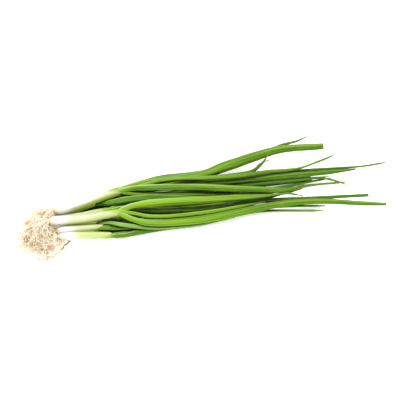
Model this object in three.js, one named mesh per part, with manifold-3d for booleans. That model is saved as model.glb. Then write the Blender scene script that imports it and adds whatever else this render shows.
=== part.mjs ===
// A bunch of eight spring onions lying loose on a flat surface. Millimetres.
// +X runs from the roots to the leaf tips, +Y to the rear of the bunch, +Z up.
import * as THREE from 'three';
import { mergeVertices } from 'three/addons/utils/BufferGeometryUtils.js';
import Module from 'manifold-3d';

const wasm = await Module();
wasm.setup();

// White shank
const shankSides = 12;
const shankStep = 9; // distance between two rings
const basePinch = 0.6; // share of the bulb's radius left where the roots start
const bulbPeak = 9; // distance from the base to the widest ring
const bulbEnd = 34; // distance from the base to where the plain shank starts
const collarDepth = 7; // how far down inside the sheath the leaves start
const collarWall = 0.6;
const collarSlant = 2.4; // how far one side of the sheath stands above its middle
const ringAtBase = 2.5; // distance from the base to the second ring

// Hollow leaves
const leafSides = 8;
const leafStep = 15;
const leafTip = 0.35; // half of the thickness at the tip
const cutWall = 0.3; // share of the half width that is wall at a cut end
const cutDepth = 7;
const openingLength = 26; // length over which a folded leaf base opens to its full section
const socketFloor = 0.6; // air under a leaf inside its sheath
const rimLead = 1; // a leaf runs straight this far past the highest point of its sheath
const freeLead = 6; // and leans away no further than freeLean by this distance past it
const freeLean = 0.3;

// Air between neighbouring pieces
const leafGap = 0.45;
const socketGap = 0.3;
const flatSpot = 0.3; // anything closer to the surface than this lies flat on it

// Settling
const shankRounds = 300;
const leafRounds = 500;
const closeRounds = 20; // rounds between two searches for neighbours
const closeReach = 30; // stretches whose ends are further apart than this never meet
const evenOut = 0.25; // how strongly a shift spreads along its leaf in each round
const homing = 0.004; // how strongly a leaf is drawn back to its guide in each round
const easedShare = 0.85; // after this share of the rounds, only contacts still move anything

// Roots
const plateThickness = 2.6;
const plateTop = 0.96; // radius against the shank's base
const plateBottom = 0.6;
const rootCircle = 0.72; // share of the plate that roots grow from
const plateSides = 10;
const rootSides = 3;
const rootsPerPlant = 16;
const rootStep = 5.6;
const rootSteps = 6;
const rootRadius = 0.62;
const rootTipRadius = 0.42;
const rootTries = 80;
const rootPull = 0.45; // how strongly a root turns towards its place in the mat at each step
const rootWander = 0.9;
const rootRise = 4; // how far a root may climb above the plate that it grows from
const rootMat = [[-167, 20], [-15, 27], [4, 5]]; // middle and half size of the mat that the roots form

// Each leaf follows points [x, y, z, width], listed from the sheath to the tip.
// The leaves of a plant are listed from its rear side to its front side.
const plants = [
  {
    name: 'a',
    shank: [[-152, 19, 4.6], [-132, 21, 4.6], [-121, 24, 5], [-106, 27, 6]],
    bulb: 4.5,
    neck: 3.9,
    leaves: [
      {
        name: 'a3',
        high: 0.75,
        route: [
          [-78, 33, 5.5, 5], [-50, 35, 7.5, 5.4], [-29, 34, 9, 5.6], [7, 25, 11, 6],
          [54, 17, 12, 6.5], [102, 10, 13, 6.8], [146, 5, 13, 5.6], [175, 4, 12, 2],
        ],
      },
      {
        name: 'a4',
        high: 0.8,
        route: [
          [-80, 28, 8, 3.4], [-50, 32, 11.5, 3.2], [-20, 31, 14, 3], [8, 30, 15, 3],
          [32, 28, 15, 3], [50, 26.5, 15, 3.2], [58, 24.5, 15, 4], [65, 26.5, 15.5, 4],
          [76, 33, 16.5, 3], [83, 39, 17.5, 2], [88, 45, 18, 1],
        ],
      },
      {
        name: 'a1',
        high: 0.75,
        route: [
          [-91, 20, 8.5, 9], [-65, 16.5, 10.5, 8.6], [-50, 14, 11.5, 8], [0, 0, 10, 7],
          [40, -6, 8.5, 4.5], [65, -10, 8, 1],
        ],
      },
    ],
  },
  {
    name: 'b',
    shank: [[-148, 18, 12], [-127, 20, 12.5], [-105, 25, 13.2], [-83, 30, 13.5]],
    bulb: 4.8,
    neck: 4.2,
    leaves: [
      {
        name: 'b1',
        high: 0.7,
        cut: true,
        route: [
          [-62, 38.5, 12, 7.8], [-35, 42, 10, 8.8], [11, 38.5, 10, 10.4], [33, 42.5, 12.5, 13],
          [54, 46.5, 13.5, 13], [77, 50.5, 15, 12], [106, 54, 16, 10], [153, 46, 17, 8.2],
        ],
      },
      {
        name: 'b4',
        high: 0.75,
        route: [
          [-57, 36, 11, 4.8], [-37, 38, 11.5, 5.4], [-15, 32, 14.5, 5.6], [7, 25, 16, 5.6],
          [45, 18, 17, 5.4], [82, 17, 17, 5], [103, 14.5, 17, 4.2], [116, 15, 17, 2.8],
          [136, 18, 19, 1.8], [159, 22, 22, 0.8],
        ],
      },
      {
        name: 'b2',
        high: 0.75,
        route: [
          [-60, 28, 16, 7.8], [3, 12, 17, 8.2], [40, -1, 17, 8.4], [73, -10, 16, 7.2],
          [91, -13, 14, 5.2], [106, -10, 13, 3.8], [129, -10, 12, 2.6], [159, -12, 10, 1],
        ],
      },
      {
        name: 'b3',
        high: 0.7,
        route: [
          [-62, 24, 11, 5.5], [-41, 20, 11, 5.8], [2, 8, 10, 5.8], [43, -2, 9, 4.4], [80, -7, 8, 1],
        ],
      },
    ],
  },
  {
    name: 'h',
    shank: [[-149, 29, 3.8], [-126, 32, 3.8], [-101, 37, 3.8]],
    bulb: 4.1,
    neck: 3.7,
    leaves: [
      {
        name: 'h4',
        high: 0.75,
        route: [
          [-60, 47, 4, 5.6], [-33, 52, 4.5, 6.6], [-8, 50, 5, 6.4], [20, 48, 6.5, 5.4],
          [57, 54, 9, 4.4], [95, 59.5, 12.5, 4], [112, 60, 16.5, 3.6], [127, 59, 19, 2.8],
          [134, 58.5, 21.5, 1.8], [141, 58, 25, 0.8],
        ],
      },
      {
        name: 'h3',
        high: 0.7,
        route: [
          [-60, 42, 3, 5.6], [-20, 44, 2.4, 6.6], [30, 40, 2.4, 6.6], [80, 32, 2.2, 4.6],
          [118, 24, 2, 1],
        ],
      },
      {
        name: 'h1',
        high: 0.75,
        route: [
          [-60, 37, 4, 5], [10, 30, 7, 5.8], [72, 21, 11, 5.4], [120, 16, 12, 4.4], [164, 8, 13, 3],
          [186, 4, 14, 2.2], [212, 2, 16, 0.8],
        ],
      },
      {
        name: 'h2',
        high: 0.75,
        route: [
          [-60, 32, 4, 5], [10, 20, 6.5, 5.8], [67, 12, 9, 5.6], [93, 8, 10, 5], [112, 6, 10, 4.4],
          [132, 4, 10, 3], [147, -2, 8, 1.8], [161, -9, 4, 1],
        ],
      },
    ],
  },
  {
    name: 'g',
    shank: [[-155, 13, 4.6], [-124, 12, 4.6], [-109, 12.5, 5], [-97, 12, 6]],
    bulb: 4.5,
    neck: 3.9,
    leaves: [
      {
        name: 'g2',
        high: 0.7,
        route: [
          [-80, 17, 6, 7.6], [-40, 8, 5, 8.6], [0, 3, 4, 8.6], [60, 3, 4.5, 6.4], [105, 3, 6, 3.6],
          [146, 2, 8, 1],
        ],
      },
      {
        name: 'g1',
        high: 0.7,
        cut: true,
        route: [
          [-78, 9, 9, 7], [-53, -1, 8.5, 7], [-3, -10, 7.5, 7], [57, -13, 7, 5.8],
          [115, -23, 7, 4.2], [174, -34, 7, 3.8],
        ],
      },
    ],
  },
  {
    name: 'c',
    shank: [[-156, 4, 12], [-133, 0, 12], [-118, -2, 12.5], [-101, -3, 14], [-90, -4, 15]],
    bulb: 4.5,
    neck: 4.2,
    leaves: [
      {
        name: 'c1',
        high: 0.75,
        route: [
          [-69, -2, 19.5, 8], [-47, -5, 20.5, 9], [-3, -12, 20, 8.2], [35, -16, 18, 7.6],
          [55, -17, 16, 5.6], [76, -17, 14, 2.6], [93, -17, 12, 1.6], [106, -21, 9, 1],
        ],
      },
      {
        name: 'c2',
        high: 0.75,
        route: [
          [-70, -11, 14.5, 5], [-50, -19, 14, 5], [-7, -25, 14, 5], [33, -24, 12.5, 4.4],
          [65, -19, 9.5, 1.4],
        ],
      },
      {
        name: 'c3',
        high: 0.65,
        cut: true,
        route: [
          [-73, -17, 12.5, 7], [-52, -27, 13, 8.2], [-9, -33, 12.5, 9.2], [31, -32, 12, 9.2],
          [78, -28, 10, 7.8], [121, -32, 8, 6.8], [161, -43, 5.5, 5.6], [188, -50, 4, 3.6],
        ],
      },
    ],
  },
  {
    name: 'f',
    shank: [[-156, 5, 4.2], [-131, 4, 4.2], [-114, 0, 5]],
    bulb: 4.3,
    neck: 3.7,
    leaves: [
      {
        name: 'f2',
        high: 0.7,
        route: [
          [-92, -1, 5, 6], [-60, -2, 4, 6.8], [0, -7, 3.6, 6.8], [60, -11, 3.5, 5.4],
          [110, -9, 6, 1],
        ],
      },
      {
        name: 'f1',
        high: 0.7,
        route: [
          [-96, -11, 8.5, 5.2], [-83, -18, 9, 5.2], [-52, -27, 7, 5.4], [-8, -30.5, 5, 5.2],
          [36, -25, 3.4, 4.2], [52, -24.8, 2.8, 3.4], [73, -27.8, 2.4, 2.8], [98, -34.3, 2.2, 2.6],
          [122, -40.3, 2, 1.2],
        ],
      },
    ],
  },
  {
    name: 'd',
    shank: [[-151, -3, 4.5], [-132, -5, 4.5], [-111, -9, 5]],
    bulb: 4.4,
    neck: 3.8,
    leaves: [
      {
        name: 'd3',
        high: 0.7,
        route: [
          [-80, -8.5, 4, 5], [-40, -9.5, 3, 5.4], [0, -12, 2.6, 5.6], [50, -5, 2.4, 4.6], [96, 6, 2, 1],
        ],
      },
      {
        name: 'd1',
        high: 0.7,
        route: [
          [-88, -13, 4, 6], [-70, -13.5, 4, 5.4], [-5, -17.5, 3.5, 5.6], [60, -23, 4.5, 5.6],
          [125, -37, 4, 1.2],
        ],
      },
      {
        name: 'd2',
        high: 0.7,
        route: [
          [-71, -18.5, 3, 4], [-6, -21, 2.4, 4], [37, -20, 2.4, 1.2],
        ],
      },
    ],
  },
  {
    name: 'e',
    shank: [[-150, -12, 4.4], [-134, -14, 4.4], [-117, -18, 4.4], [-102, -22, 4.4]],
    bulb: 4.3,
    neck: 3.7,
    leaves: [
      {
        name: 'e2',
        high: 0.7,
        route: [
          [-64, -20, 2.4, 3.4], [-17, -23, 2, 2.8], [20, -24, 2, 1.2],
        ],
      },
      {
        name: 'e1',
        high: 0.7,
        route: [
          [-86, -25.5, 4, 6.4], [-68, -24.6, 3.6, 6.2], [-55, -24.6, 3.2, 5.6], [-39, -25.4, 3, 5],
          [-18, -27, 2.6, 4.2], [30, -26, 2, 1.2],
        ],
      },
    ],
  },
];

const shankMaterial = new THREE.MeshStandardMaterial({ color: 0xf1f3dc, roughness: 0.35, metalness: 0 });
const leafMaterial = new THREE.MeshStandardMaterial({ color: 0x5f9a1f, roughness: 0.4, metalness: 0 });
const rootMaterial = new THREE.MeshStandardMaterial({ color: 0xe9dcc0, roughness: 0.8, metalness: 0 });

const up = new THREE.Vector3(0, 0, 1);

// A value between the entries of a list, at a place counted in entries
function between(values, place) {
  const low = Math.min(Math.floor(place), values.length - 2);
  return THREE.MathUtils.lerp(values[low], values[low + 1], place - low);
}

// Points at chosen distances along a smooth curve, with each point's share of the guide points
function walk(guide, distances) {
  const curve = new THREE.CatmullRomCurve3(guide, false, 'centripetal');
  const length = curve.getLength();
  return distances.map((distance) => {
    const t = curve.getUtoTmapping(Math.min(distance / length, 1));
    return { point: curve.getPoint(t), place: t * (guide.length - 1) };
  });
}

function curveLength(guide) {
  return new THREE.CatmullRomCurve3(guide, false, 'centripetal').getLength();
}

// Along, sideways and upwards directions at each point of a route
function framesOf(points) {
  return points.map((point, index) => {
    const before = points[Math.max(index - 1, 0)];
    const after = points[Math.min(index + 1, points.length - 1)];
    const along = after.clone().sub(before).normalize();
    const side = up.clone().cross(along).normalize();
    return { along, side, rise: along.clone().cross(side) };
  });
}

// A closed solid turned about a route: profile entries are [share of the section, place in rings].
// The rings lie at the route's points, and each has its own half width and half height.
function bentLathe(profile, sides, tube) {
  const outline = profile.map(([share, ring]) => new THREE.Vector2(share, ring));
  const turned = new THREE.LatheGeometry(outline, sides, Math.PI / sides);
  const position = turned.getAttribute('position');
  const frames = framesOf(tube.points);
  for (let index = 0; index < position.count; index += 1) {
    const ring = position.getY(index);
    const low = Math.min(Math.floor(ring), tube.points.length - 2);
    const share = ring - low;
    const centre = tube.points[low].clone().lerp(tube.points[low + 1], share);
    const side = frames[low].side.clone().lerp(frames[low + 1].side, share);
    const rise = frames[low].rise.clone().lerp(frames[low + 1].rise, share);
    centre.addScaledVector(side, position.getX(index) * between(tube.wide, ring));
    centre.addScaledVector(rise, position.getZ(index) * between(tube.high, ring));
    if (tube.shift) centre.add(tube.shift(position.getX(index), ring));
    if (centre.z < flatSpot) centre.z = 0;
    position.setXYZ(index, centre.x, centre.y, centre.z);
  }
  return weld(turned);
}

// Keeps only positions, and joins the vertices along the seam and at the poles
function weld(geometry) {
  geometry.deleteAttribute('uv');
  geometry.deleteAttribute('normal');
  const welded = mergeVertices(geometry, 1e-4);
  const index = welded.getIndex();
  const kept = [];
  for (let corner = 0; corner < index.count; corner += 3) {
    const [a, b, c] = [index.getX(corner), index.getX(corner + 1), index.getX(corner + 2)];
    if (a !== b && b !== c && c !== a) kept.push(a, b, c);
  }
  welded.setIndex(kept);
  return facingOut(welded);
}

function volumeOf(geometry) {
  const position = geometry.getAttribute('position');
  const index = geometry.getIndex();
  const corners = [new THREE.Vector3(), new THREE.Vector3(), new THREE.Vector3()];
  let volume = 0;
  for (let corner = 0; corner < index.count; corner += 3) {
    corners.forEach((vertex, offset) => vertex.fromBufferAttribute(position, index.getX(corner + offset)));
    volume += corners[0].dot(corners[1].clone().cross(corners[2])) / 6;
  }
  return volume;
}

function facingOut(geometry) {
  if (volumeOf(geometry) < 0) {
    const index = geometry.getIndex().array;
    for (let corner = 0; corner < index.length; corner += 3) {
      [index[corner], index[corner + 1]] = [index[corner + 1], index[corner]];
    }
  }
  return geometry;
}

// Nearest points of two straight pieces, as shares of their lengths
function nearest(startA, endA, startB, endB) {
  const a = endA.clone().sub(startA);
  const b = endB.clone().sub(startB);
  const apart = startA.clone().sub(startB);
  const aa = a.dot(a);
  const bb = b.dot(b);
  const ab = a.dot(b);
  const ac = a.dot(apart);
  const bc = b.dot(apart);
  const clamp = THREE.MathUtils.clamp;
  const flat = aa * bb - ab * ab;
  let s = flat > 1e-9 ? clamp((ab * bc - ac * bb) / flat, 0, 1) : 0.5;
  const t = clamp((ab * s + bc) / bb, 0, 1);
  s = clamp((ab * t - ac) / aa, 0, 1);
  return [s, t];
}

// How far an oval section reaches from its middle in a direction
function reach(tube, index, share, direction) {
  const frame = tube.frames[index];
  const wide = THREE.MathUtils.lerp(tube.wide[index], tube.wide[index + 1], share);
  const high = THREE.MathUtils.lerp(tube.high[index], tube.high[index + 1], share);
  return Math.hypot(wide * frame.side.dot(direction), high * frame.rise.dot(direction));
}

// The push that parts two neighbouring stretches, or null where they are clear already
function contact(tubeA, i, tubeB, j, gap) {
  const [s, t] = nearest(tubeA.points[i], tubeA.points[i + 1], tubeB.points[j], tubeB.points[j + 1]);
  const middleA = tubeA.points[i].clone().lerp(tubeA.points[i + 1], s);
  const middleB = tubeB.points[j].clone().lerp(tubeB.points[j + 1], t);
  const apart = middleA.sub(middleB);
  const directions = [apart.clone().normalize(), tubeA.frames[i].rise, tubeA.frames[i].side];
  let best = null;
  for (const direction of directions) {
    const sign = apart.dot(direction) < 0 ? -1 : 1;
    const needed = reach(tubeA, i, s, direction) + reach(tubeB, j, t, direction) + gap;
    const depth = needed - sign * apart.dot(direction);
    if (depth <= 0) return null;
    if (!best || depth < best.depth) best = { depth, direction: direction.clone().multiplyScalar(sign) };
  }
  return { ...best, s, t };
}

function pushPoint(tube, index, direction, amount) {
  if (index >= tube.pinned) tube.points[index].addScaledVector(direction, amount);
}

// Moves one stretch, shared between its two ends by how near the contact is to each
function pushStretch(tube, index, share, direction, amount) {
  const total = share * share + (1 - share) * (1 - share);
  pushPoint(tube, index, direction, (amount * (1 - share)) / total);
  pushPoint(tube, index + 1, direction, (amount * share) / total);
}

// Pairs of stretches near enough to meet, apart from a leaf and its own sheath where it leaves it
function neighbours(tubes) {
  const found = [];
  tubes.forEach((tubeA, a) => {
    tubes.slice(a + 1).forEach((tubeB) => {
      if (tubeA.still && tubeB.still) return;
      for (let i = 0; i < tubeA.points.length - 1; i += 1) {
        for (let j = 0; j < tubeB.points.length - 1; j += 1) {
          const ownSheath = tubeA.plant === tubeB.plant && (tubeA.still || tubeB.still);
          if (ownSheath && i + j < tubeA.points.length) continue;
          if (tubeA.points[i].distanceTo(tubeB.points[j]) < closeReach) found.push([tubeA, i, tubeB, j]);
        }
      }
    });
  });
  return found;
}

// Spreads each leaf's shifts evenly along it, so that it bends and doesn't kink
function relax(tube) {
  const shifts = tube.points.map((point, index) => point.clone().sub(tube.guide[index]));
  for (let index = tube.pinned; index < shifts.length; index += 1) {
    const after = shifts[Math.min(index + 1, shifts.length - 1)];
    const before = shifts[Math.max(index - 1, 0)];
    const mean = after.clone().add(before).multiplyScalar(0.5);
    const shift = shifts[index].clone().lerp(mean, evenOut).multiplyScalar(1 - homing);
    tube.points[index].copy(tube.guide[index]).add(shift);
  }
}

// Lets all pieces settle side by side and on the surface, as close as they can be to their guides
function settle(tubes, rounds) {
  const moving = tubes.filter((tube) => !tube.still);
  let close = [];
  for (let round = 0; round < rounds; round += 1) {
    if (round % closeRounds === 0) {
      tubes.forEach((tube) => { tube.frames = framesOf(tube.points); });
      close = neighbours(tubes);
    }
    for (const [tubeA, i, tubeB, j] of close) {
      const hit = contact(tubeA, i, tubeB, j, leafGap);
      if (!hit) continue;
      const shareA = tubeA.still ? 0 : tubeB.still ? 1 : 0.5;
      pushStretch(tubeA, i, hit.s, hit.direction, hit.depth * shareA);
      pushStretch(tubeB, j, hit.t, hit.direction, hit.depth * (shareA - 1));
    }
    for (const tube of moving) {
      if (round < rounds * easedShare) relax(tube);
      tube.points.forEach((point, index) => {
        if (index >= tube.pinned) point.z = Math.max(point.z, tube.high[index]);
      });
    }
  }
}

const toVectors = (rows) => rows.map(([x, y, z]) => new THREE.Vector3(x, y, z));

function shankRadius(plant, distance) {
  const { smoothstep, lerp } = THREE.MathUtils;
  if (distance < bulbPeak) {
    const rise = Math.sqrt(1 - (1 - distance / bulbPeak) ** 2);
    return plant.bulb * lerp(basePinch, 1, rise);
  }
  return lerp(plant.bulb, plant.neck, smoothstep(distance, bulbPeak, bulbEnd));
}

// Centre line and radii of a shank, from its base to its collar
function shankTube(plant) {
  const guide = toVectors(plant.shank);
  const length = curveLength(guide);
  const rings = Math.round(length / shankStep);
  const socket = length - collarDepth;
  const plain = Array.from({ length: rings }, (_, index) => (socket * (index + 1)) / rings);
  const distances = [0, ringAtBase, ...plain, length];
  const steps = walk(guide, distances);
  const points = steps.map((step) => step.point);
  const radii = distances.map((distance) => shankRadius(plant, distance));
  return {
    name: `shank_${plant.name}`,
    plant: plant.name,
    points,
    guide: points.map((point) => point.clone()),
    wide: radii,
    high: radii,
    pinned: 0,
    still: false,
  };
}

function shankMesh(plant, tube) {
  const last = tube.points.length - 1;
  const inner = (plant.neck - collarWall) / plant.neck;
  const outside = tube.points.map((_, ring) => [1, ring]);
  const profile = [[0, 0], ...outside, [inner, last], [inner, last - 1], [0, last - 1]];
  const along = framesOf(tube.points)[last].along;
  tube.shift = (side, ring) => {
    const nearRim = Math.max(ring - last + 1, 0);
    return along.clone().multiplyScalar(collarSlant * side * nearRim);
  };
  const mesh = new THREE.Mesh(bentLathe(profile, shankSides, tube), shankMaterial);
  mesh.name = tube.name;
  return mesh;
}

// Where each leaf of a plant sits inside the sheath: folded flat, side by side, wide leaves thicker
function socketPlaces(plant) {
  const room = (plant.neck - collarWall) * Math.cos(Math.PI / shankSides) - socketGap;
  const widths = plant.leaves.map((leaf) => Math.sqrt(leaf.route[0][3]));
  const total = widths.reduce((sum, width) => sum + width, 0);
  let edge = room;
  return widths.map((width) => {
    const pitch = (2 * room * width) / total;
    const offset = edge - pitch / 2;
    edge -= pitch;
    const thin = (pitch - socketGap) / 2;
    const tall = Math.sqrt(Math.max(room ** 2 - (Math.abs(offset) + thin) ** 2, 1));
    return { offset, thin, tall };
  });
}

// Centre line and section of a leaf, from inside the sheath to its tip
function leafTube(plant, leaf, place, shank) {
  const end = shank.points.length - 1;
  const { along, side } = framesOf(shank.points)[end];
  const collar = shank.points[end].clone().addScaledVector(side, place.offset);
  const start = collar.clone().addScaledVector(along, socketFloor - collarDepth);
  const rim = collar.clone().addScaledVector(along, collarSlant + rimLead);
  const lead = collar.clone().addScaledVector(along, collarSlant + freeLead);
  lead.addScaledVector(side, place.offset * freeLean);
  const guide = [start, rim, lead, ...toVectors(leaf.route)];
  const firstWidth = leaf.route[0][3];
  const widths = [firstWidth, firstWidth, firstWidth, ...leaf.route.map((row) => row[3])];
  const length = curveLength(guide);
  const rimDistance = start.distanceTo(rim);
  const rings = Math.round((length - rimDistance) / leafStep);
  const free = Array.from({ length: rings }, (_, index) => rimDistance
    + ((length - rimDistance) * (index + 1)) / rings);
  const steps = walk(guide, [0, rimDistance, ...free]);
  const points = steps.map((step) => step.point);
  points[1].copy(rim);
  const wide = [];
  const high = [];
  steps.forEach((step, ring) => {
    const distance = ring < 2 ? 0 : free[ring - 2] - rimDistance;
    const open = THREE.MathUtils.smoothstep(distance, 0, openingLength);
    const half = Math.max(between(widths, step.place) / 2, leafTip);
    wide.push(THREE.MathUtils.lerp(place.thin, half, open));
    high.push(THREE.MathUtils.lerp(place.tall, Math.max(half * leaf.high, leafTip), open));
  });
  return {
    name: `leaf_${leaf.name}`,
    plant: plant.name,
    cut: leaf.cut,
    points,
    guide: points.map((point) => point.clone()),
    wide,
    high,
    pinned: 2,
    still: false,
  };
}

function leafMesh(tube) {
  const last = tube.points.length - 1;
  const outside = tube.points.map((_, ring) => [1, ring]);
  const inner = 1 - cutWall;
  const bottom = last - cutDepth / leafStep;
  const end = tube.cut ? [[inner, last], [inner * 0.9, bottom], [0, bottom]] : [[0, last]];
  const mesh = new THREE.Mesh(bentLathe([[0, 0], ...outside, ...end], leafSides, tube), leafMaterial);
  mesh.name = tube.name;
  return mesh;
}

// A repeatable row of numbers between 0 and 1
function seededDraw(seed) {
  let state = seed;
  return () => {
    state = (state * 1664525 + 1013904223) % 4294967296;
    return state / 4294967296;
  };
}

// One root: it leaves the plate, then wanders towards its own place in the mat of roots
function rootRoute(shank, draw) {
  const { along, side, rise } = framesOf(shank.points)[0];
  const turn = draw() * Math.PI * 2;
  const spread = Math.sqrt(draw());
  const outward = side.clone().multiplyScalar(Math.cos(turn)).addScaledVector(rise, Math.sin(turn));
  const plateRadius = shank.wide[0] * rootCircle;
  const points = [shank.points[0].clone().addScaledVector(outward, plateRadius * spread)];
  points[0].addScaledVector(along, -plateThickness / 2 - socketGap);
  const heading = along.clone().multiplyScalar(-1).addScaledVector(outward, 0.2 + spread * draw());
  const aim = new THREE.Vector3(...rootMat.map(([centre, half]) => centre + half * (2 * draw() - 1)));
  const step = rootStep * (0.75 + 0.5 * draw());
  for (let count = 0; count < rootSteps; count += 1) {
    const wander = new THREE.Vector3(draw() - 0.5, draw() - 0.5, 0.6 * (draw() - 0.5));
    const pull = aim.clone().sub(points[count]).normalize();
    heading.normalize().addScaledVector(pull, rootPull).addScaledVector(wander, rootWander).normalize();
    const next = points[count].clone().addScaledVector(heading, step);
    next.z = THREE.MathUtils.clamp(next.z, rootRadius * (1 + draw()), points[0].z + rootRise);
    points.push(next);
  }
  return points;
}

// Whether a new root keeps clear of other pieces, and of its own plant's roots once they have spread
function isClear(route, plant, taken) {
  for (let i = 0; i < route.length - 1; i += 1) {
    for (const other of taken) {
      if (other.owner === plant && (i < 2 || other.order < 2)) continue;
      const [s, t] = nearest(route[i], route[i + 1], other.start, other.end);
      const a = route[i].clone().lerp(route[i + 1], s);
      const b = other.start.clone().lerp(other.end, t);
      if (a.distanceTo(b) < rootRadius + other.radius + socketGap) return false;
    }
  }
  return true;
}

function stretchesOf(points, radius, owner) {
  return points.slice(1).map((end, order) => ({ start: points[order], end, radius, owner, order }));
}

function toManifold(geometry) {
  const vertProperties = Float32Array.from(geometry.getAttribute('position').array);
  const triVerts = Uint32Array.from(geometry.getIndex().array);
  return new wasm.Manifold(new wasm.Mesh({ numProp: 3, vertProperties, triVerts }));
}

function fromManifold(solid) {
  const { vertProperties, triVerts } = solid.getMesh();
  const geometry = new THREE.BufferGeometry();
  geometry.setAttribute('position', new THREE.BufferAttribute(vertProperties, 3));
  geometry.setIndex(new THREE.BufferAttribute(triVerts, 1));
  return geometry;
}

function rootSolid(points) {
  const radii = points.map((_, index) => THREE.MathUtils.lerp(rootRadius, rootTipRadius,
    index / (points.length - 1)));
  const outside = points.map((_, ring) => [1, ring]);
  const profile = [[0, 0], ...outside, [0, points.length - 1]];
  return toManifold(bentLathe(profile, rootSides, { points, wide: radii, high: radii }));
}

// The hard plate under the bulb, joined with every root that grows from it
function rootsMesh(shank, routes) {
  const { along } = framesOf(shank.points)[0];
  const top = shank.points[0].clone().addScaledVector(along, -socketGap);
  const bottom = top.clone().addScaledVector(along, -plateThickness);
  const radii = [shank.wide[0] * plateTop, shank.wide[0] * plateBottom];
  const profile = [[0, 0], [1, 0], [1, 1], [0, 1]];
  const plate = bentLathe(profile, plateSides, { points: [top, bottom], wide: radii, high: radii });
  let solid = toManifold(plate);
  for (const route of routes) solid = solid.add(rootSolid(route));
  // Small hollows closed in between crossing roots are filled
  const [outside] = solid.decompose().sort((a, b) => b.volume() - a.volume());
  const mesh = new THREE.Mesh(fromManifold(outside), rootMaterial);
  mesh.name = shank.name.replace('shank', 'roots');
  return mesh;
}

function growRoots(shanks) {
  const taken = shanks.flatMap((shank) => stretchesOf(shank.points, Math.max(...shank.wide), 'shank'));
  const routes = new Map(shanks.map((shank) => [shank, []]));
  const draws = new Map(shanks.map((shank, index) => [shank, seededDraw(1000 + 77 * index)]));
  for (let count = 0; count < rootsPerPlant; count += 1) {
    for (const shank of shanks) {
      for (let attempt = 0; attempt < rootTries; attempt += 1) {
        const route = rootRoute(shank, draws.get(shank));
        if (!isClear(route.slice(1), shank.plant, taken)) continue;
        routes.get(shank).push(route);
        taken.push(...stretchesOf(route, rootRadius, shank.plant));
        break;
      }
    }
  }
  return routes;
}

const shanks = plants.map(shankTube);
settle(shanks, shankRounds);
shanks.forEach((shank) => { shank.still = true; });
const leaves = plants.flatMap((plant, index) => {
  const places = socketPlaces(plant);
  return plant.leaves.map((leaf, rank) => leafTube(plant, leaf, places[rank], shanks[index]));
});
settle([...shanks, ...leaves], leafRounds);
const routes = growRoots(shanks);

const bunch = new THREE.Group();
plants.forEach((plant, index) => {
  bunch.add(rootsMesh(shanks[index], routes.get(shanks[index])));
  bunch.add(shankMesh(plant, shanks[index]));
  leaves.filter((tube) => tube.plant === plant.name).forEach((tube) => bunch.add(leafMesh(tube)));
});

// The origin is on the surface, under the middle of the bunch
const box = new THREE.Box3().setFromObject(bunch);
const middle = box.getCenter(new THREE.Vector3());
bunch.position.set(-middle.x, -middle.y, -box.min.z);

const group = new THREE.Group();
group.add(bunch);

export default group;
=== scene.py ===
# A bunch of eight spring onions lying on a table, roots to the left
import math
import random

import bmesh
import bpy
from mathutils import Matrix, Vector, noise
from mathutils.bvhtree import BVHTree


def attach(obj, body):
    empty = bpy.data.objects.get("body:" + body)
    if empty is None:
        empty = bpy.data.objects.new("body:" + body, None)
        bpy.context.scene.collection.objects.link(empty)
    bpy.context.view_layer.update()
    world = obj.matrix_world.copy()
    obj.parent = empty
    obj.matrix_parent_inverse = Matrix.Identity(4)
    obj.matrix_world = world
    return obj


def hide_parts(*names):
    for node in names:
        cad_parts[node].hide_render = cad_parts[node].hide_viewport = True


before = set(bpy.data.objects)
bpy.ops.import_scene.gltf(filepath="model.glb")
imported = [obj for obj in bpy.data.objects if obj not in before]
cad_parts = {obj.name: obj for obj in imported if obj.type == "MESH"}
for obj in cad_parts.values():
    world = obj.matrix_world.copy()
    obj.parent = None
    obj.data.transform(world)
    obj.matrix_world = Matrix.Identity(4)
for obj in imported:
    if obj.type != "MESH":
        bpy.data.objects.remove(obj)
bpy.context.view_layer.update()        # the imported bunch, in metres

up = Vector((0, 0, 1))

# camera first
camera = {"turn": -15, "height": 40, "lens": 85, "sensor": 36, "distance": 0.98222,
          "aim": (-0.00972, -0.00549, 0.010)}


def setCamera(settings):
    turn, height = math.radians(settings["turn"]), math.radians(settings["height"])
    back = Vector((math.sin(turn) * math.cos(height), -math.cos(turn) * math.cos(height), math.sin(height)))
    right = Vector((math.cos(turn), math.sin(turn), 0))
    data = bpy.data.cameras.new("camera")
    data.lens, data.sensor_width = settings["lens"], settings["sensor"]
    data.clip_start = 0.05
    holder = bpy.data.objects.new("camera", data)
    holder.matrix_world = Matrix((right, back.cross(right), back)).transposed().to_4x4()
    holder.matrix_world.translation = Vector(settings["aim"]) + back * settings["distance"]
    bpy.context.scene.collection.objects.link(holder)
    bpy.context.scene.camera = holder


setCamera(camera)
print("camera set")


class Wire:
    # one output of a shader node, so that maths on it reads as a sum
    def __init__(self, finish, socket):
        self.finish, self.socket = finish, socket

    def maths(self, operation, *values):
        return self.finish.node("ShaderNodeMath", {"operation": operation}, dict(enumerate(values)))

    def __add__(self, other):
        return self.maths("ADD", self, other)

    def __radd__(self, other):
        return self.maths("ADD", other, self)

    def __sub__(self, other):
        return self.maths("SUBTRACT", self, other)

    def __rsub__(self, other):
        return self.maths("SUBTRACT", other, self)

    def __mul__(self, other):
        return self.maths("MULTIPLY", self, other)

    def __rmul__(self, other):
        return self.maths("MULTIPLY", other, self)


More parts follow.
